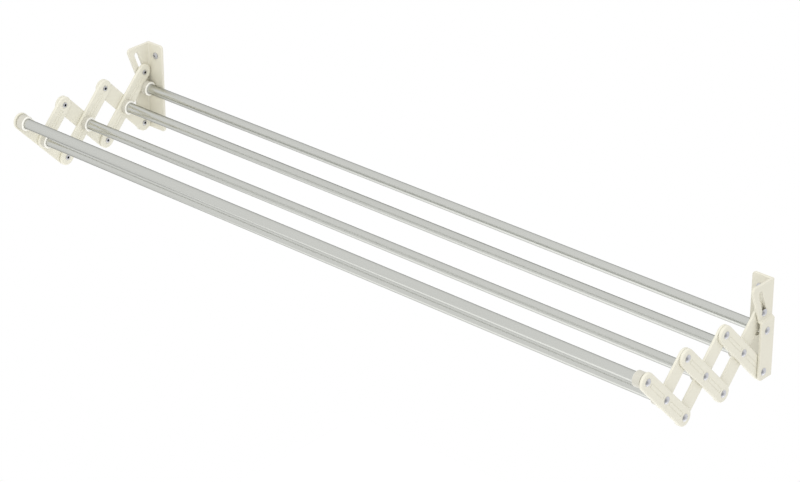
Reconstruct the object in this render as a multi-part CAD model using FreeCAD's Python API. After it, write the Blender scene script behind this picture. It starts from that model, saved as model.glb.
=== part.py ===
import FreeCAD, Part
import math
import os

# Extending wall rack for drying laundry: five aluminium rails carried at both ends by
# lazy-tong arms, which pull out from two moulded wall brackets and push back against them.
#
# Frame: millimetres, +Z up, X along the rails. The wall is the plane Y = 0, and -Y points into
# the room. The origin is the centre of the four wall screws. The rack is built pulled out, with
# the slot pins resting at the bottom of their slots.
#
# Every part is made for the right-hand end (+X), and mirrored for the left-hand end. A pivot is
# a point (y, z), because all the pivots lie along X.

V = FreeCAD.Vector

# --- driving dimensions -----------------------------------------------------------------------

OVERALL_WIDTH = 1000.0          # across the outer faces of the two brackets
RAIL_DIAMETER = 13.0
RAIL_WALL = 1.0
STAGES = 3                      # crossings at each end, each with a rail

ARM_PITCH = 101.0               # between the end pivots of a full arm
ARM_WIDTH = 21.8
ARM_THICK = 3.6
ARM_ANGLE = 46.4                # arms above the horizontal, pulled out
LAYER_GAP = 0.3                 # between plates that pass one another

PIVOT_FROM_WALL = 15.3          # wall to the bracket's pivots
LOWER_PIVOT_Z = -50.0
BRACKET_HEIGHT = 121.2
SIDE_PLATE = 3.4                # thickness
WALL_PLATE = 3.0                # thickness
WALL_PLATE_WIDTH = 31.4

SCREW_SPACING_Z = 90.0
SCREW_X = 480.0                 # from the middle of the rack
SCREW_LENGTH = 13.0

REAR_RAIL = (-12.9, 0.9)
SLOT_TRAVEL = 25.75             # of the slot pin, from pulled out to folded
SLOT_LEAN = 21.0                # slot and front edge lean away from the wall, degrees

# --- details ----------------------------------------------------------------------------------

ARM_EDGE = 1.6                  # edge radius of the open face
ARM_BACK_EDGE = 0.4             # edge radius of the face that lies against the crossing arms
BEAD_WIDTH = 3.8                # flush stiffening bead on the open face of each half of an arm
BEAD_END = 8.8                  # pivot to the end of the bead
BEAD_GROOVE = 0.7               # width of the groove around the bead
BEAD_GROOVE_DEPTH = 0.3
SPOT_RADIUS = 4.4               # spot face under a rolled rivet tail
SPOT_DEPTH = 0.3

SHANK_RADIUS = 2.2
HEAD_RADIUS = 4.5
HEAD_RIM = 0.35                 # height of the upright edge of a rivet head
HEAD_HEIGHT = 2.1
TAIL_RADIUS = 3.4
TAIL_HEIGHT = 1.1
TAIL_ROUND = 0.8
BORE_RADIUS = 1.7               # open end of a tubular rivet
BORE_DEPTH = 5.0
RUNNING_FIT = 0.08              # radial, where an arm turns on a rivet
SEATED_FIT = 0.02               # radial, where a rivet is tight
END_PLAY = 0.1                  # under a rolled tail

CAP_RADIUS = 9.4
CAP_ROUND = 1.1                 # edge radius at the mouth
CAP_LENGTH = 7.7                # foot to mouth, on an inner arm
CAP_FLOOR = 3.0
FRONT_GROOVE = 1.4              # width of the groove between a front cap and its arm
FRONT_GROOVE_RADIUS = 6.8       # at the bottom of the groove
RAIL_PLAY = 0.2                 # radial, around a rail in its cap
CORE_LENGTH = 15.0              # core of a cap, inside the rail
CORE_PLAY = 0.1                 # radial
NECK_RADIUS = 5.2               # of a rear cap, between its foot and the bracket
DRIVE_DEPTH = 12.0              # of the blind hole for a rail rivet, from the foot of a cap
DRIVE_PLAY = 0.2                # left past the end of the rivet

STEP_TOP = 15.6                 # height at which the side plate starts to step outwards
STEP_DROP = 2.5
LOWER_FRONT = -23.7             # front edge of the lower side plate
SLOT_WIDTH = 7.0
SLOT_SHIFT = 0.72               # slot axis behind the line through the pin's two end places
SLOT_SEAT = 0.7                 # pin's rest to the centre of the slot's lower end
SLOT_SPARE = 2.0                # slot past the folded pin
TOP_CORNER = 5.0
BOTTOM_CORNER = 6.0
PLATE_CORNER = 4.0
BRACKET_EDGE = 0.9              # edge radius
INSIDE_CORNER = 2.0             # radius between the side plate and the front of the wall plate

SCREW_RADIUS = 2.0
SCREW_NECK = 2.2                # radius of the plain neck, in the bracket
SCREW_PLAY = 0.3                # radial, around the neck
SCREW_HEAD_RADIUS = 4.4
SCREW_HEAD_HEIGHT = 2.4
SCREW_HEAD_ROUND = 1.2
SCREW_TIP = 4.0
CROSS_LENGTH = 4.6
CROSS_WIDTH = 1.0
CROSS_DEPTH = 1.3

# --- what follows from them -------------------------------------------------------------------

CELL = ARM_PITCH * math.cos(math.radians(ARM_ANGLE))
RISE = ARM_PITCH * math.sin(math.radians(ARM_ANGLE))

# planes across the right-hand end, from the outermost inwards
LOWER_OUT = OVERALL_WIDTH / 2
LOWER_IN = LOWER_OUT - SIDE_PLATE
OUTER_ARM_OUT = LOWER_IN - LAYER_GAP
OUTER_ARM_IN = OUTER_ARM_OUT - ARM_THICK
INNER_ARM_OUT = OUTER_ARM_IN - LAYER_GAP
INNER_ARM_IN = INNER_ARM_OUT - ARM_THICK
UPPER_OUT = OUTER_ARM_OUT
UPPER_IN = UPPER_OUT - SIDE_PLATE
MOUTH = INNER_ARM_IN - CAP_LENGTH
CAP_SEAT = INNER_ARM_IN - CAP_FLOOR         # where the end of a rail stops in its cap
REAR_FOOT = INNER_ARM_IN - LAYER_GAP        # foot of a rear cap, which the arms pass
BRACKET_INNER = LOWER_OUT - WALL_PLATE_WIDTH
SCREW_HEIGHTS = (-SCREW_SPACING_Z / 2, SCREW_SPACING_Z / 2)


def lower_pivot(cell):
    """Lower pivot, counted outwards from the bracket's own, 0."""
    return (-PIVOT_FROM_WALL - cell * CELL, LOWER_PIVOT_Z)


def upper_pivot(cell):
    """Upper pivot, counted outwards from the slot pin, 0."""
    return (-PIVOT_FROM_WALL - cell * CELL, LOWER_PIVOT_Z + RISE)


def middle_pivot(stage):
    """Crossing of the two arms of a stage, counted outwards from 1."""
    return (-PIVOT_FROM_WALL - (stage - 0.5) * CELL, LOWER_PIVOT_Z + RISE / 2)


# --- solids -----------------------------------------------------------------------------------

def towards(start, end, distance):
    """The point at a distance from start on the line to end."""
    length = math.dist(start, end)
    return tuple(a + (b - a) * distance / length for a, b in zip(start, end))


def rod(pivot, radius, x_low, x_high):
    """Cylinder about a pivot."""
    return Part.makeCylinder(radius, x_high - x_low, V(x_low, *pivot), V(1, 0, 0))


def capsule(start, end, radius, x_low, x_high):
    """Plate with round ends about two pivots."""
    along = V(0, end[0] - start[0], end[1] - start[1]).normalize() * radius
    across = V(1, 0, 0).cross(along)
    a = V(x_low, *start)
    b = V(x_low, *end)
    edges = [
        Part.LineSegment(a + across, b + across),
        Part.Arc(b + across, b + along, b - across),
        Part.LineSegment(b - across, a - across),
        Part.Arc(a - across, a - along, a + across),
    ]
    wire = Part.Wire([edge.toShape() for edge in edges])
    return Part.Face(wire).extrude(V(x_high - x_low, 0, 0))


def bar(start, end, width, x_low, x_high):
    """Plate with square ends between two points."""
    along = V(0, end[0] - start[0], end[1] - start[1]).normalize()
    across = V(1, 0, 0).cross(along) * (width / 2)
    a = V(x_low, *start)
    b = V(x_low, *end)
    wire = Part.makePolygon([a - across, a + across, b + across, b - across, a - across])
    return Part.Face(wire).extrude(V(x_high - x_low, 0, 0))


def turned(pivot, outline):
    """Solid of revolution about a pivot, from (x, radius) points.

    A step of three points in a tuple is an arc through its middle point.
    """
    def place(point):
        return V(point[0], pivot[0] + point[1], pivot[1])

    edges = []
    for step in outline:
        ends = [place(point) for point in step]
        shape = Part.Arc(*ends) if len(ends) == 3 else Part.LineSegment(*ends)
        edges.append(shape.toShape())
    return Part.Face(Part.Wire(edges)).revolve(V(0, *pivot), V(1, 0, 0), 360)


def steps(*points):
    """The straight steps from each (x, radius) point to the next, for turned()."""
    return list(zip(points, points[1:]))


def rounding(start, corner, end):
    """The step that rounds a square corner from start to end with a quarter circle."""
    centre = [s + e - c for s, c, e in zip(start, corner, end)]
    middle = tuple(m + (c - m) * math.sqrt(0.5) for m, c in zip(centre, corner))
    return [(start, middle, end)]


def rounded_polygon(corners):
    """Closed wire through (point, radius) corners, each rounded by its radius."""
    turns = []
    for index, (corner, radius) in enumerate(corners):
        before = (corners[index - 1][0] - corner).normalize()
        after = (corners[(index + 1) % len(corners)][0] - corner).normalize()
        half = before.getAngle(after) / 2
        reach = radius / math.tan(half)
        middle = corner + (before + after).normalize() * (radius / math.sin(half) - radius)
        rounded = (corner + before * reach, middle, corner + after * reach)
        turns.append(rounded if radius else (corner,))
    edges = []
    for previous, turn in zip(turns[-1:] + turns[:-1], turns):
        edges.append(Part.LineSegment(previous[-1], turn[0]).toShape())
        if len(turn) == 3:
            edges.append(Part.Arc(*turn).toShape())
    return Part.Wire(edges)


def face_edges(solid, x):
    """The edges of a solid that lie in the plane at x."""
    return [e for e in solid.Edges if abs(e.BoundBox.XMin - x) + abs(e.BoundBox.XMax - x) < 1e-6]


# --- parts of the right-hand end --------------------------------------------------------------

def arm(pivots, x_in, x_open, tails):
    """Arm through its pivots, with beads in its open face and spot faces under rivet tails."""
    x_out = x_in + ARM_THICK
    plate = capsule(pivots[0], pivots[-1], ARM_WIDTH / 2, x_in, x_out)
    for x in (x_in, x_out):
        radius = ARM_EDGE if x == x_open else ARM_BACK_EDGE
        plate = plate.makeFillet(radius, face_edges(plate, x))
    for pivot in pivots:
        plate = plate.cut(rod(pivot, SHANK_RADIUS + RUNNING_FIT, x_in, x_out))
    for pivot in tails:
        plate = plate.cut(rod(pivot, SPOT_RADIUS, x_in, x_in + SPOT_DEPTH))
    for one, other in zip(pivots, pivots[1:]):
        span = (x_open - BEAD_GROOVE_DEPTH, x_open + BEAD_GROOVE_DEPTH)
        bead = bar(towards(one, other, BEAD_END), towards(other, one, BEAD_END), BEAD_WIDTH, *span)
        start = towards(one, other, BEAD_END - BEAD_GROOVE)
        end = towards(other, one, BEAD_END - BEAD_GROOVE)
        groove = bar(start, end, BEAD_WIDTH + 2 * BEAD_GROOVE, *span)
        plate = plate.cut(groove.cut(bead))
    return plate


def rivet_head(x_seat):
    """Steps of the outline of a domed head, from its foot to the axis."""
    rim = x_seat + HEAD_RIM
    top = x_seat + HEAD_HEIGHT
    rise = top - rim
    ball = (HEAD_RADIUS ** 2 + rise ** 2) / (2 * rise)
    middle_radius = HEAD_RADIUS / 2
    middle = top - ball + math.sqrt(ball ** 2 - middle_radius ** 2)
    foot = steps((x_seat, SHANK_RADIUS), (x_seat, HEAD_RADIUS), (rim, HEAD_RADIUS))
    return foot + [((rim, HEAD_RADIUS), (middle, middle_radius), (top, 0))]


def tubular_rivet(pivot, x_seat, x_tail):
    """Rivet with its head outside x_seat, and its open end rolled over inside x_tail."""
    end = x_tail - TAIL_HEIGHT
    bore = end + BORE_DEPTH
    flat = (end, TAIL_RADIUS - TAIL_ROUND)
    side = (end + TAIL_ROUND, TAIL_RADIUS)
    tail = steps((x_seat + HEAD_HEIGHT, 0), (bore, 0), (bore, BORE_RADIUS), (end, BORE_RADIUS), flat)
    tail += rounding(flat, (end, TAIL_RADIUS), side)
    tail += steps(side, (x_tail, TAIL_RADIUS), (x_tail, SHANK_RADIUS), (x_seat, SHANK_RADIUS))
    return turned(pivot, rivet_head(x_seat) + tail)


def rail_rivet(pivot, x_seat, x_foot):
    """Rivet driven into the core of a rail cap whose foot is at x_foot."""
    end = x_foot - DRIVE_DEPTH + DRIVE_PLAY
    shank = steps((x_seat + HEAD_HEIGHT, 0), (end, 0), (end, SHANK_RADIUS), (x_seat, SHANK_RADIUS))
    return turned(pivot, rivet_head(x_seat) + shank)


def rail_cap(pivot, x_foot):
    """Socket for the end of a rail, with a core that goes into the rail."""
    rail_bore = RAIL_DIAMETER / 2 + RAIL_PLAY
    core = RAIL_DIAMETER / 2 - RAIL_WALL - CORE_PLAY
    core_end = CAP_SEAT - CORE_LENGTH
    bore = SHANK_RADIUS + SEATED_FIT
    bore_end = x_foot - DRIVE_DEPTH
    side = (MOUTH + CAP_ROUND, CAP_RADIUS)
    lip = (MOUTH, CAP_RADIUS - CAP_ROUND)
    outline = steps((x_foot, bore), (x_foot, CAP_RADIUS), side)
    outline += rounding(side, (MOUTH, CAP_RADIUS), lip)
    outline += steps(lip, (MOUTH, rail_bore), (CAP_SEAT, rail_bore), (CAP_SEAT, core),
                     (core_end, core), (core_end, 0), (bore_end, 0), (bore_end, bore), (x_foot, bore))
    return turned(pivot, outline)


def rear_cap(pivot):
    """Rail cap with a neck that holds it off the bracket."""
    neck = rod(pivot, NECK_RADIUS, REAR_FOOT, LOWER_IN)
    neck = neck.cut(rod(pivot, SHANK_RADIUS + SEATED_FIT, REAR_FOOT, LOWER_IN))
    return rail_cap(pivot, REAR_FOOT).fuse(neck).removeSplitter()


def front_cap(pivot):
    """Longer rail cap, with a groove next to the outer arm."""
    groove_in = OUTER_ARM_IN - FRONT_GROOVE
    ring = rod(pivot, CAP_RADIUS + FRONT_GROOVE, groove_in, OUTER_ARM_IN)
    ring = ring.cut(rod(pivot, FRONT_GROOVE_RADIUS, groove_in, OUTER_ARM_IN))
    return rail_cap(pivot, OUTER_ARM_IN).cut(ring)


def rail(pivot):
    """Aluminium tube, from cap to cap."""
    end = CAP_SEAT - END_PLAY
    outside = rod(pivot, RAIL_DIAMETER / 2, -end, end)
    return outside.cut(rod(pivot, RAIL_DIAMETER / 2 - RAIL_WALL, -end, end))


def slot_axis():
    """Centres of the slot's lower and upper ends."""
    lean = math.radians(SLOT_LEAN)
    up = (-math.sin(lean), math.cos(lean))
    back = (math.cos(lean), math.sin(lean))
    pin = upper_pivot(0)
    return [
        tuple(pin[i] + back[i] * SLOT_SHIFT + up[i] * along for i in range(2))
        for along in (SLOT_SEAT, SLOT_TRAVEL + SLOT_SPARE)
    ]


def side_plate():
    """Side of the bracket: an upper plate that steps outwards to a lower one."""
    top = BRACKET_HEIGHT / 2
    step_low = STEP_TOP - STEP_DROP
    slope = math.atan2(LOWER_OUT - UPPER_OUT, STEP_DROP)
    inside = SIDE_PLATE * math.tan(slope / 2)
    reach = 2 * PIVOT_FROM_WALL + BRACKET_HEIGHT / 2
    section = Part.Wire(Part.makePolygon([V(x, -reach, z) for x, z in (
        (UPPER_OUT, top), (UPPER_OUT, STEP_TOP), (LOWER_OUT, step_low), (LOWER_OUT, -top),
        (LOWER_IN, -top), (LOWER_IN, step_low - inside), (UPPER_IN, STEP_TOP - inside),
        (UPPER_IN, top), (UPPER_OUT, top))]).Edges)
    strip = Part.Face(section).extrude(V(0, reach, 0))
    upper_front = LOWER_FRONT - (top - STEP_TOP) * math.tan(math.radians(SLOT_LEAN))
    x_start = UPPER_IN - SIDE_PLATE
    outline = rounded_polygon([
        (V(x_start, 0, top), 0),
        (V(x_start, upper_front, top), TOP_CORNER),
        (V(x_start, LOWER_FRONT, STEP_TOP), 0),
        (V(x_start, LOWER_FRONT, -top), BOTTOM_CORNER),
        (V(x_start, 0, -top), 0),
    ])
    return strip.common(Part.Face(outline).extrude(V(LOWER_OUT - x_start + SIDE_PLATE, 0, 0)))


def wall_plate():
    """Plate of the bracket that lies on the wall."""
    top = BRACKET_HEIGHT / 2
    outline = rounded_polygon([
        (V(BRACKET_INNER, -WALL_PLATE, top), PLATE_CORNER),
        (V(UPPER_OUT, -WALL_PLATE, top), 0),
        (V(UPPER_OUT, -WALL_PLATE, STEP_TOP), 0),
        (V(LOWER_OUT, -WALL_PLATE, STEP_TOP - STEP_DROP), 0),
        (V(LOWER_OUT, -WALL_PLATE, -top), 0),
        (V(BRACKET_INNER, -WALL_PLATE, -top), PLATE_CORNER),
    ])
    return Part.Face(outline).extrude(V(0, WALL_PLATE, 0))


def is_inside_corner(edge):
    """Whether an edge of the bracket is where the side plate meets the front of the wall plate."""
    box = edge.BoundBox
    room = 1e-6
    on_side_plate = box.XMin > UPPER_IN - room and box.XMax < LOWER_IN + room
    return on_side_plate and abs(box.YMin + WALL_PLATE) + abs(box.YMax + WALL_PLATE) < room


def bracket():
    """Wall bracket, moulded in one piece, with every edge but those on the wall rounded."""
    body = side_plate().fuse(wall_plate()).removeSplitter()
    off_wall = [e for e in body.Edges if e.BoundBox.YMax < -WALL_PLATE / 2]
    body = body.makeFillet(BRACKET_EDGE, [e for e in off_wall if not is_inside_corner(e)])
    body = body.makeFillet(INSIDE_CORNER, [e for e in body.Edges if is_inside_corner(e)])
    body = body.cut(capsule(*slot_axis(), SLOT_WIDTH / 2, UPPER_IN, UPPER_OUT))
    for pivot in (lower_pivot(0), REAR_RAIL):
        body = body.cut(rod(pivot, SHANK_RADIUS + SEATED_FIT, LOWER_IN, LOWER_OUT))
    for z in SCREW_HEIGHTS:
        start = V(SCREW_X, -WALL_PLATE, z)
        body = body.cut(Part.makeCylinder(SCREW_NECK + SCREW_PLAY, WALL_PLATE, start, V(0, 1, 0)))
    return body


def wall_screw(z):
    """Pan-headed cross-recess screw through the wall plate, at a height."""
    seat = -WALL_PLATE
    head_top = seat - SCREW_HEAD_HEIGHT
    tip = seat + SCREW_LENGTH
    side = (head_top + SCREW_HEAD_ROUND, SCREW_HEAD_RADIUS)
    flat = (head_top, SCREW_HEAD_RADIUS - SCREW_HEAD_ROUND)
    outline = steps((tip, 0), (tip - SCREW_TIP, SCREW_RADIUS), (0, SCREW_RADIUS), (0, SCREW_NECK),
                    (seat, SCREW_NECK), (seat, SCREW_HEAD_RADIUS), side)
    outline += rounding(side, (head_top, SCREW_HEAD_RADIUS), flat)
    outline += steps(flat, (head_top, 0), (tip, 0))
    screw = turned((0, 0), outline)
    screw.rotate(V(0, 0, 0), V(0, 0, 1), 90)
    screw.translate(V(SCREW_X, 0, z))
    for length, height in ((CROSS_LENGTH, CROSS_WIDTH), (CROSS_WIDTH, CROSS_LENGTH)):
        corner = V(SCREW_X - length / 2, head_top, z - height / 2)
        screw = screw.cut(Part.makeBox(length, CROSS_DEPTH, height, corner))
    return screw


# --- the rack ---------------------------------------------------------------------------------

def mirrored(solid):
    """The same solid at the left-hand end."""
    return solid.mirror(V(0, 0, 0), V(1, 0, 0))


def plates():
    """The bracket and the arms of the right-hand end, by name."""
    parts = {"bracket": bracket()}
    for stage in range(1, STAGES + 1):
        middle = middle_pivot(stage)
        outer = [lower_pivot(stage - 1), middle, upper_pivot(stage)]
        inner = [upper_pivot(stage - 1), middle]
        if stage < STAGES:
            inner.append(lower_pivot(stage))
        tails = outer[:1] if stage == 1 else []
        parts[f"outer_arm_{stage}"] = arm(outer, OUTER_ARM_IN, OUTER_ARM_OUT, tails)
        tails = [pivot for pivot in inner if pivot != middle]
        parts[f"inner_arm_{stage}"] = arm(inner, INNER_ARM_IN, INNER_ARM_IN, tails)
    return parts


def fasteners():
    """The screws and pivot rivets of the right-hand end: lists of solids, by name."""
    inner_tail = INNER_ARM_IN + SPOT_DEPTH - END_PLAY
    outer_tail = OUTER_ARM_IN + SPOT_DEPTH - END_PLAY
    groups = {
        "wall_screws": [wall_screw(z) for z in SCREW_HEIGHTS],
        "bracket_pivot_rivets": [tubular_rivet(lower_pivot(0), LOWER_OUT, outer_tail)],
        "slot_pins": [tubular_rivet(upper_pivot(0), UPPER_OUT, inner_tail)],
    }
    for cell in range(1, STAGES):
        for row, pivot in (("upper", upper_pivot(cell)), ("lower", lower_pivot(cell))):
            rivet = tubular_rivet(pivot, OUTER_ARM_OUT, inner_tail)
            groups[f"{row}_pivot_rivets_{cell}"] = [rivet]
    return groups


def rail_ends():
    """From the wall outwards: each rail's pivot, its right-hand cap, and the rivet in that."""
    ends = [(REAR_RAIL, rear_cap(REAR_RAIL), rail_rivet(REAR_RAIL, LOWER_OUT, REAR_FOOT))]
    for stage in range(1, STAGES + 1):
        pivot = middle_pivot(stage)
        cap = rail_cap(pivot, INNER_ARM_IN)
        ends.append((pivot, cap, rail_rivet(pivot, OUTER_ARM_OUT, INNER_ARM_IN)))
    front = upper_pivot(STAGES)
    ends.append((front, front_cap(front), rail_rivet(front, OUTER_ARM_OUT, OUTER_ARM_IN)))
    return ends


def both_ends(solids):
    """Right-hand solids and their mirror images, as one shape."""
    return Part.makeCompound(solids + [mirrored(solid) for solid in solids])


def rack():
    """Every part of the rack, by name."""
    shapes = {}
    for name, solid in plates().items():
        shapes[f"{name}_right"] = solid
        shapes[f"{name}_left"] = mirrored(solid)
    for name, solids in fasteners().items():
        shapes[name] = both_ends(solids)
    for number, (pivot, cap, rivet) in enumerate(rail_ends(), start=1):
        shapes[f"rail_{number}"] = rail(pivot)
        shapes[f"rail_{number}_cap_right"] = cap
        shapes[f"rail_{number}_cap_left"] = mirrored(cap)
        shapes[f"rail_{number}_rivets"] = both_ends([rivet])
    return shapes


os.makedirs("parts", exist_ok=True)
for name, shape in rack().items():
    shape.exportStep(os.path.join("parts", f"{name}.step"))
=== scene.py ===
import math

import bmesh
import bpy
from mathutils import Matrix, Vector


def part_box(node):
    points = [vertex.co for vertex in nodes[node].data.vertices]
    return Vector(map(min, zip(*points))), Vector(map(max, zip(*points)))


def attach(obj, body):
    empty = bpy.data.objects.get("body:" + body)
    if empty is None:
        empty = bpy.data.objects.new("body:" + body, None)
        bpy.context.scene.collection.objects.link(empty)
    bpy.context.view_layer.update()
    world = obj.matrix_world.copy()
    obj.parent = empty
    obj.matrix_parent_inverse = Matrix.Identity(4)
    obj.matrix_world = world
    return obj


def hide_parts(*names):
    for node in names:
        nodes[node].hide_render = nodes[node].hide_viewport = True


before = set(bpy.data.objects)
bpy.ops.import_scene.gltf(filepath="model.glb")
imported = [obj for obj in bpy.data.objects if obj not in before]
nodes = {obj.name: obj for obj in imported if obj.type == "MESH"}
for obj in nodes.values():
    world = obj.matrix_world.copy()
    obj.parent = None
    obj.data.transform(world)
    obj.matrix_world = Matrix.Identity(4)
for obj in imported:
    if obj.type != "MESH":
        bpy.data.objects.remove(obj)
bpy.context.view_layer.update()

MM = 0.001

# --- camera -----------------------------------------------------------------------------------

CAMERA_PLACE = Vector((2113.0, -2415.5, 1567.5)) * MM
CAMERA_AZIMUTH = math.radians(41.93)
CAMERA_ELEVATION = math.radians(26.93)
CAMERA_LENS = 133.05
SENSOR_WIDTH = 36.0
CAMERA_REACH = 50.0


def add_camera():
    data = bpy.data.cameras.new("camera")
    data.lens = CAMERA_LENS
    data.sensor_width = SENSOR_WIDTH
    data.clip_end = CAMERA_REACH
    camera = bpy.data.objects.new("camera", data)
    camera.location = CAMERA_PLACE
    camera.rotation_euler = (math.pi / 2 - CAMERA_ELEVATION, 0, CAMERA_AZIMUTH)
    bpy.context.scene.collection.objects.link(camera)
    bpy.context.scene.camera = camera


# --- shader helpers ---------------------------------------------------------------------------

RAMP_STOPS = (0.3, 0.7)


class Shader:
    """A material with a Principled shader, and short ways to add procedural detail to it."""

    def __init__(self, name, **constants):
        self.material = bpy.data.materials.new(name)
        self.material.use_nodes = True
        self.tree = self.material.node_tree
        self.surface = self.tree.nodes["Principled BSDF"]
        for key, value in constants.items():
            self.surface.inputs[key.replace("_", " ")].default_value = value
        self.place = self.node("ShaderNodeTexCoord").outputs["Object"]

    def node(self, kind, **values):
        """A new node with some of its input sockets set."""
        node = self.tree.nodes.new(kind)
        for key, value in values.items():
            node.inputs[key.replace("_", " ")].default_value = value
        return node

    def link(self, output, target):
        self.tree.links.new(output, target)

    def calculate(self, operation, first, second):
        """A Math node's result, of a socket and a socket or number."""
        node = self.tree.nodes.new("ShaderNodeMath")
        node.operation = operation
        self.link(first, node.inputs[0])
        if isinstance(second, float):
            node.inputs[1].default_value = second
        else:
            self.link(second, node.inputs[1])
        return node.outputs[0]

    def noise(self, scale, detail=3.0, stretch=(1, 1, 1)):
        """Noise between 0 and 1 across the object, with scale in cycles a metre."""
        mapping = self.node("ShaderNodeMapping", Scale=stretch)
        self.link(self.place, mapping.inputs["Vector"])
        noise = self.node("ShaderNodeTexNoise", Scale=scale, Detail=detail)
        self.link(mapping.outputs["Vector"], noise.inputs["Vector"])
        return noise.outputs["Fac"]

    def ramp(self, value, low, high):
        """A colour, or a number as grey, that goes from low to high with value."""
        ramp = self.tree.nodes.new("ShaderNodeValToRGB")
        stops = ramp.color_ramp.elements
        stops[0].position, stops[1].position = RAMP_STOPS
        stops[0].color = colour(low)
        stops[1].color = colour(high)
        self.link(value, ramp.inputs["Fac"])
        return ramp.outputs["Color"]

    def mix(self, mask, outside, inside):
        """Outside, turned to the colour or number inside where the mask is 1."""
        mix = self.tree.nodes.new("ShaderNodeMix")
        mix.data_type = "RGBA"
        self.link(mask, mix.inputs["Factor"])
        sockets = {socket.identifier: socket for socket in mix.inputs}
        self.link(outside, sockets["A_Color"])
        sockets["B_Color"].default_value = colour(inside)
        return {socket.identifier: socket for socket in mix.outputs}["Result_Color"]

    def bump(self, value, height):
        """Relief of a height in metres."""
        bump = self.node("ShaderNodeBump", Strength=1.0, Distance=height)
        self.link(value, bump.inputs["Height"])
        return bump.outputs["Normal"]

    def finish(self, **outputs):
        """The material, with these outputs linked to the shader's sockets of the same names."""
        for name, output in outputs.items():
            self.link(output, self.surface.inputs[name.replace("_", " ")])
        return self.material


def colour(value):
    """RGBA of a colour, or of a number as grey."""
    return (value, value, value, 1) if isinstance(value, float) else (*value, 1)


# --- finishes of the rack ---------------------------------------------------------------------

# Noise scales are in cycles a metre.
ARM_LIGHT = (0.745, 0.722, 0.616)
ARM_DARK = (0.732, 0.709, 0.600)
BRACKET_LIGHT = (0.722, 0.697, 0.594)
BRACKET_DARK = (0.709, 0.684, 0.578)
CAP_LIGHT = (0.575, 0.558, 0.486)
CAP_DARK = (0.562, 0.545, 0.474)
# Painted highlight: a pale colour painted on the caps' lips at their mouths, round the tubes
PAINTED_LIP_HIGHLIGHT = (0.90, 0.885, 0.82)
CAP_MOUTH = 481.1 * MM
CAP_LIP = 0.6 * MM
PLASTIC_SPECULAR = 0.5
PLASTIC_CLOUDS = 11.0
PLASTIC_PATCHES = 70.0
PLASTIC_ROUGHNESS = (0.34, 0.44)
PLASTIC_GRAIN = 900.0
PLASTIC_GRAIN_DETAIL = 1.0
PLASTIC_GRAIN_HEIGHT = 0.0006 * MM

ALUMINIUM_DARK = (0.60, 0.607, 0.575)
ALUMINIUM_LIGHT = (0.625, 0.632, 0.60)
ALUMINIUM_TINT = 0.35
ALUMINIUM_ROUGHNESS = (0.23, 0.27)
DIE_LINES = 450.0
DIE_LINES_DETAIL = 2.0
DIE_LINES_STRETCH = (0.0006, 1, 1)
ALUMINIUM_BANDS = 30.0
ALUMINIUM_BANDS_DETAIL = 1.0
ALUMINIUM_BANDS_STRETCH = (0.05, 1, 1)

ZINC = (0.66, 0.665, 0.70)
ZINC_DARKEST = 0.9              # of the colour above
ZINC_CLOUDS = 500.0
ZINC_PATCHES = 1300.0
ZINC_ROUGHNESS = (0.32, 0.40)
ZINC_GRAIN = 1800.0
ZINC_GRAIN_DETAIL = 2.0
ZINC_GRAIN_HEIGHT = 0.004 * MM
RIVET_BORE = 1.72 * MM
BORE_DEPTH = 6.2 * MM           # from the rolled end of a rivet to the bottom of its bore
# Painted shade: near black painted down inside the bores of tubular rivets and slot pins, with a
# rough finish
BORE_PAINTED_SHADE = 0.008
BORE_ROUGHNESS = 0.9


def moulded_plastic(name, light, dark, lip=None):
    """Cream plastic: faintly cloudy colour, a fine moulded grain and slightly uneven gloss.

    It has a painted highlight: where lip is given, it is painted paler on a lip that is nearer the
    middle of the rack than x = lip.
    """
    shader = Shader(name, Specular_IOR_Level=PLASTIC_SPECULAR)
    base = shader.ramp(shader.noise(PLASTIC_CLOUDS), dark, light)
    # Painted highlight on the lip, as a paler colour
    if lip:
        base = shader.mix(nearer_than(shader, lip), base, PAINTED_LIP_HIGHLIGHT)
    grain = shader.noise(PLASTIC_GRAIN, PLASTIC_GRAIN_DETAIL)
    return shader.finish(
        Base_Color=base,
        Roughness=shader.ramp(shader.noise(PLASTIC_PATCHES), *PLASTIC_ROUGHNESS),
        Normal=shader.bump(grain, PLASTIC_GRAIN_HEIGHT),
    )


def drawn_aluminium():
    """Satin tube with very faint lines along its length from the drawing die."""
    shader = Shader("drawn_aluminium", Metallic=1.0, Specular_Tint=colour(ALUMINIUM_TINT))
    lines = shader.noise(DIE_LINES, DIE_LINES_DETAIL, DIE_LINES_STRETCH)
    bands = shader.noise(ALUMINIUM_BANDS, ALUMINIUM_BANDS_DETAIL, ALUMINIUM_BANDS_STRETCH)
    return shader.finish(
        Base_Color=shader.ramp(bands, ALUMINIUM_DARK, ALUMINIUM_LIGHT),
        Roughness=shader.ramp(lines, *ALUMINIUM_ROUGHNESS),
    )


def zinc_plate(name, bore=None):
    """Bright zinc on a formed steel part, with painted shade, near black, down inside a bore if it
    has one.
    """
    shader = Shader(name, Metallic=1.0)
    darkest = tuple(ZINC_DARKEST * channel for channel in ZINC)
    base = shader.ramp(shader.noise(ZINC_CLOUDS), darkest, ZINC)
    roughness = shader.ramp(shader.noise(ZINC_PATCHES), *ZINC_ROUGHNESS)
    if bore:
        # Painted shade down inside the bore
        inside = bore_shade_mask(shader, *bore)
        base = shader.mix(inside, base, BORE_PAINTED_SHADE)
        roughness = shader.mix(inside, roughness, BORE_ROUGHNESS)
    grain = shader.noise(ZINC_GRAIN, ZINC_GRAIN_DETAIL)
    return shader.finish(
        Base_Color=base,
        Roughness=roughness,
        Normal=shader.bump(grain, ZINC_GRAIN_HEIGHT),
    )


def nearer_than(shader, x_limit):
    """A mask of the points nearer the middle of the rack than x_limit."""
    split = shader.node("ShaderNodeSeparateXYZ")
    shader.link(shader.place, split.inputs[0])
    from_middle = shader.calculate("ABSOLUTE", split.outputs["X"], 0.0)
    return shader.calculate("LESS_THAN", from_middle, x_limit)


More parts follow.
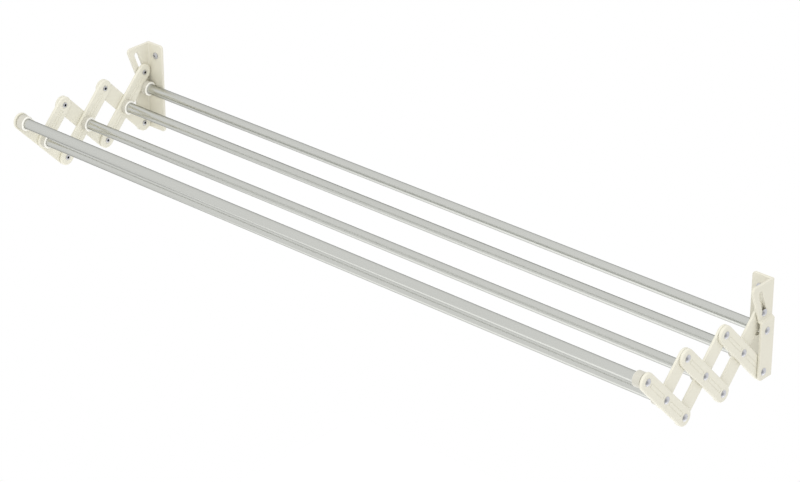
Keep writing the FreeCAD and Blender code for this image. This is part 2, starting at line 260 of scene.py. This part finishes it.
def bore_shade_mask(shader, y, z, x_limit):
    """A mask of the points near an axis along X at (y, z), and nearer the middle than x_limit,
    where shade is painted in a bore.
    """
    split = shader.node("ShaderNodeSeparateXYZ")
    shader.link(shader.place, split.inputs[0])
    squares = []
    for axis, centre in (("Y", y), ("Z", z)):
        offset = shader.calculate("SUBTRACT", split.outputs[axis], centre)
        squares.append(shader.calculate("POWER", offset, 2.0))
    near_axis = shader.calculate("LESS_THAN", shader.calculate("ADD", *squares), RIVET_BORE ** 2)
    return shader.calculate("MULTIPLY", near_axis, nearer_than(shader, x_limit))


def paint(material, names):
    for name in names:
        nodes[name].data.materials.clear()
        nodes[name].data.materials.append(material)


def paint_rack():
    arms = [name for name in nodes if "arm" in name]
    brackets = ["bracket_left", "bracket_right"]
    caps = [name for name in nodes if "cap" in name]
    rails = [name for name in nodes if name.startswith("rail") and name[-1].isdigit()]
    rail_rivets = [name for name in nodes if name.startswith("rail") and "rivets" in name]
    tubular = [name for name in nodes if "pivot_rivets" in name or name == "slot_pins"]
    paint(moulded_plastic("arm_plastic", ARM_LIGHT, ARM_DARK), arms)
    paint(moulded_plastic("bracket_plastic", BRACKET_LIGHT, BRACKET_DARK), brackets)
    # The caps get a painted highlight on their lips at the mouths.
    paint(moulded_plastic("cap_plastic", CAP_LIGHT, CAP_DARK, lip=CAP_MOUTH + CAP_LIP), caps)
    paint(drawn_aluminium(), rails)
    paint(zinc_plate("rivet_zinc"), rail_rivets)
    # Tubular rivets and slot pins get painted shade down their bores.
    for name in tubular:
        low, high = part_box(name)
        middle = (low + high) / 2
        tail = min(abs(v.co.x) for v in nodes[name].data.vertices)
        bore = (middle.y, middle.z, tail + BORE_DEPTH)
        paint(zinc_plate(f"{name}_zinc", bore), [name])


# --- wall screws ------------------------------------------------------------------------------

SCREW_X = 480.0 * MM
SCREW_Z = 45.0 * MM
SCREW_SEAT = -3.0 * MM
SCREW_TIP = 10.0 * MM
POINT_LENGTH = 4.0 * MM
NECK_RADIUS = 2.2 * MM
CREST_RADIUS = 2.0 * MM
CORE_RADIUS = 1.35 * MM
THREAD_PITCH = 1.5 * MM
HEAD_RADIUS = 4.4 * MM
HEAD_HEIGHT = 2.4 * MM
HEAD_CENTRE_RADIUS = 0.02 * MM
DOME_FOOT = 0.35                # the dome's foot and the rim's top, as shares of the head's height
RIM_TOP = 0.2
DOME_ROWS = 9
DOME_STEP = 10                  # degrees
THREAD_FLANK = 0.32             # of the pitch
TIP_BLUNTNESS = 0.03            # of the shank's radius
# A recess bar's height over the seat, half length and half width, at its mouth and its bottom.
RECESS_MOUTH = (1.2 * HEAD_HEIGHT, 2.3 * MM, 0.50 * MM)
RECESS_BOTTOM = (0.25 * HEAD_HEIGHT, 0.9 * MM, 0.32 * MM)
AROUND = 48
ROWS_A_PITCH = 10
SQUARE = ((-1, -1), (1, -1), (1, 1), (-1, 1))
SCREW_ANGLES = (62, 15, 38, 80)
SHARP_ANGLE = 40


def screw_rows():
    """(y, radius at each step around) of a screw's rows, from the top of its head to its tip."""
    rows = []
    for step in range(DOME_ROWS):
        turn = math.radians(DOME_STEP * step)
        y = SCREW_SEAT - HEAD_HEIGHT * (DOME_FOOT + (1 - DOME_FOOT) * math.cos(turn))
        rows.append((y, [max(HEAD_RADIUS * math.sin(turn), HEAD_CENTRE_RADIUS)] * AROUND))
    rows.append((SCREW_SEAT - RIM_TOP * HEAD_HEIGHT, [HEAD_RADIUS] * AROUND))
    rows.append((SCREW_SEAT, [HEAD_RADIUS] * AROUND))
    rows.append((SCREW_SEAT, [NECK_RADIUS] * AROUND))
    rows.append((0.0, [NECK_RADIUS] * AROUND))
    count = round(SCREW_TIP / THREAD_PITCH * ROWS_A_PITCH)
    for row in range(count + 1):
        y = SCREW_TIP * row / count
        point = min(1.0, max(TIP_BLUNTNESS, (SCREW_TIP - y) / POINT_LENGTH))
        radii = []
        for step in range(AROUND):
            phase = (y / THREAD_PITCH - step / AROUND) % 1.0
            crest = max(0.0, 1 - abs(phase - 0.5) / THREAD_FLANK)
            radii.append(point * (CORE_RADIUS + (CREST_RADIUS - CORE_RADIUS) * crest))
        rows.append((y, radii))
    return rows


def screw_body():
    """Closed mesh of a threaded screw along +Y, without its recess."""
    mesh = bmesh.new()
    rings = []
    for y, radii in screw_rows():
        angles = [2 * math.pi * step / AROUND for step in range(AROUND)]
        rings.append([
            mesh.verts.new((radius * math.cos(a), y, radius * math.sin(a)))
            for a, radius in zip(angles, radii)
        ])
    for one, other in zip(rings, rings[1:]):
        for step in range(AROUND):
            after = (step + 1) % AROUND
            mesh.faces.new((one[step], one[after], other[after], other[step]))
    mesh.faces.new(reversed(rings[0]))
    mesh.faces.new(rings[-1])
    bmesh.ops.recalc_face_normals(mesh, faces=mesh.faces)
    return mesh


def cross_bar(turn):
    """One bar of the cross recess in a screw's head, narrower towards its bottom."""
    mesh = bmesh.new()
    rings = []
    for height, half_length, half_width in (RECESS_MOUTH, RECESS_BOTTOM):
        y = SCREW_SEAT - height
        corners = [Vector((x * half_length, y, z * half_width)) for x, z in SQUARE]
        rings.append([mesh.verts.new(Matrix.Rotation(turn, 3, "Y") @ c) for c in corners])
    outer, inner = rings
    mesh.faces.new(outer)
    mesh.faces.new(reversed(inner))
    for step in range(len(SQUARE)):
        after = (step + 1) % len(SQUARE)
        mesh.faces.new((outer[step], inner[step], inner[after], outer[after]))
    bmesh.ops.recalc_face_normals(mesh, faces=mesh.faces)
    return mesh


def add_mesh(name, mesh):
    """An object of a bmesh, which is freed."""
    data = bpy.data.meshes.new(name)
    mesh.to_mesh(data)
    mesh.free()
    item = bpy.data.objects.new(name, data)
    bpy.context.scene.collection.objects.link(item)
    return item


def screw_mesh():
    """Mesh of a threaded screw with its recess."""
    body = add_mesh("screw_body", screw_body())
    bars = [add_mesh("bar", cross_bar(turn)) for turn in (0, math.pi / 2)]
    for bar in bars:
        cut = body.modifiers.new("recess", "BOOLEAN")
        cut.operation = "DIFFERENCE"
        cut.solver = "EXACT"
        cut.object = bar
    evaluated = body.evaluated_get(bpy.context.evaluated_depsgraph_get())
    data = bpy.data.meshes.new_from_object(evaluated)
    for item in [body, *bars]:
        bpy.data.objects.remove(item)
    return data


def add_screws():
    """The four wall screws, each driven to its own angle."""
    one = screw_mesh()
    mesh = bmesh.new()
    angles = iter(SCREW_ANGLES)
    for x in (-SCREW_X, SCREW_X):
        for z in (-SCREW_Z, SCREW_Z):
            turn = Matrix.Rotation(math.radians(next(angles)), 4, "Y")
            start = len(mesh.verts)
            mesh.from_mesh(one)
            mesh.verts.ensure_lookup_table()
            bmesh.ops.transform(mesh, matrix=Matrix.Translation((x, 0, z)) @ turn,
                                verts=mesh.verts[start:])
    screws = add_mesh("screws", mesh)
    screws.data.shade_smooth()
    screws.data.set_sharp_from_angle(angle=math.radians(SHARP_ANGLE))
    screws.data.materials.append(zinc_plate("screw_zinc"))
    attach(screws, "root")
    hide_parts("wall_screws")


# --- studio -----------------------------------------------------------------------------------

FLOOR_Z = -1.8
FLOOR_REACH = 1.8
FLOOR_GLOW = 0.5
FLOOR_TONES = (0.90, 0.92)
FLOOR_CLOUDS = 3.0
FLOOR_ROUGHNESS = 0.9
FLOOR_SPECULAR = 0.1

# Lights: place in metres, then size and power in watts, or strength.
TOP_PLACE = (0.6, -0.6, 2.4)
TOP_SIZE = (3.0, 2.0)
TOP_POWER = 12
FRONT_PLACE = (0.35, -2.2, 1.0)
FRONT_SIZE = (1.8, 1.2)
FRONT_POWER = 13
LIGHT_TARGET = (0, -0.12, 0)
SUN_SIDE = (8.0, -2.0, 1.2)
SUN_STRENGTH = 0.23
SUN_SPREAD = 25                 # degrees

# The room: its lightness, and how light it is towards two sides. The cosines say how near a side
# the change starts and ends.
SKY = 0.95
CARD = 0.38
CARD_SIDE = (0.93, -0.35, -0.12)
CARD_COSINES = (0.62, 0.97)
FAR_SKY = 0.25
FAR_SIDE = (-0.50, 0.55, -0.67)      # past the rack, down behind its left end
FAR_COSINES = (0.0, 0.9)


def floor_paint():
    shader = Shader("floor_paint", Roughness=FLOOR_ROUGHNESS, Specular_IOR_Level=FLOOR_SPECULAR,
                    Emission_Color=colour(1.0), Emission_Strength=FLOOR_GLOW)
    return shader.finish(Base_Color=shader.ramp(shader.noise(FLOOR_CLOUDS), *FLOOR_TONES))


def add_floor():
    mesh = bpy.data.meshes.new("floor")
    corners = [(x * FLOOR_REACH, y * FLOOR_REACH, FLOOR_Z) for x, y in SQUARE]
    mesh.from_pydata(corners, [], [(0, 1, 2, 3)])
    mesh.materials.append(floor_paint())
    floor = bpy.data.objects.new("floor", mesh)
    bpy.context.scene.collection.objects.link(floor)


def add_light(data, direction, place=(0, 0, 0)):
    """A light that shines in a direction. Shiny surfaces don't mirror it."""
    light = bpy.data.objects.new(data.name, data)
    light.location = place
    light.visible_glossy = False
    light.rotation_euler = direction.to_track_quat("-Z", "Y").to_euler()
    bpy.context.scene.collection.objects.link(light)


def add_softbox(name, place, size, power):
    """A large soft light, aimed at the rack."""
    data = bpy.data.lights.new(name, "AREA")
    data.shape = "RECTANGLE"
    data.size, data.size_y = size
    data.energy = power
    add_light(data, Vector(LIGHT_TARGET) - Vector(place), place)


def add_sun():
    """A broad distant light from the right, which lights both ends of the rack alike."""
    data = bpy.data.lights.new("right", "SUN")
    data.energy = SUN_STRENGTH
    data.angle = math.radians(SUN_SPREAD)
    add_light(data, -Vector(SUN_SIDE))


def dimming(tree, direction, cosines, levels):
    """Lightness that goes from one level to another towards a direction."""
    toward = tree.nodes.new("ShaderNodeVectorMath")
    toward.operation = "DOT_PRODUCT"
    tree.links.new(tree.nodes.new("ShaderNodeTexCoord").outputs["Generated"], toward.inputs[0])
    toward.inputs[1].default_value = direction
    ramp = tree.nodes.new("ShaderNodeMapRange")
    ramp.interpolation_type = "SMOOTHSTEP"
    tree.links.new(toward.outputs["Value"], ramp.inputs["Value"])
    for name, value in zip(("From Min", "From Max", "To Min", "To Max"), cosines + levels):
        ramp.inputs[name].default_value = value
    return ramp.outputs["Result"]


def add_world():
    """A white room for the camera.

    What shines also mirrors a dark card at the right, and diffuse light is weaker from the far
    side.
    """
    world = bpy.data.worlds.new("studio")
    world.use_nodes = True
    tree = world.node_tree
    rays = tree.nodes.new("ShaderNodeLightPath").outputs
    room = tree.nodes.new("ShaderNodeMix")
    tree.links.new(rays["Is Diffuse Ray"], room.inputs[0])
    tree.links.new(dimming(tree, CARD_SIDE, CARD_COSINES, (SKY, CARD)), room.inputs[2])
    tree.links.new(dimming(tree, FAR_SIDE, FAR_COSINES, (SKY, FAR_SKY)), room.inputs[3])
    lighting = tree.nodes["Background"]
    tree.links.new(room.outputs[0], lighting.inputs["Color"])
    backdrop = tree.nodes.new("ShaderNodeBackground")
    backdrop.inputs["Color"].default_value = colour(1.0)
    mix = tree.nodes.new("ShaderNodeMixShader")
    tree.links.new(rays["Is Camera Ray"], mix.inputs[0])
    tree.links.new(lighting.outputs[0], mix.inputs[1])
    tree.links.new(backdrop.outputs[0], mix.inputs[2])
    tree.links.new(mix.outputs[0], tree.nodes["World Output"].inputs["Surface"])
    bpy.context.scene.world = world
    bpy.context.scene.view_settings.view_transform = "Standard"


add_camera()
add_world()
add_floor()
add_softbox("top", TOP_PLACE, TOP_SIZE, TOP_POWER)
add_sun()
add_softbox("front", FRONT_PLACE, FRONT_SIZE, FRONT_POWER)
paint_rack()
add_screws()
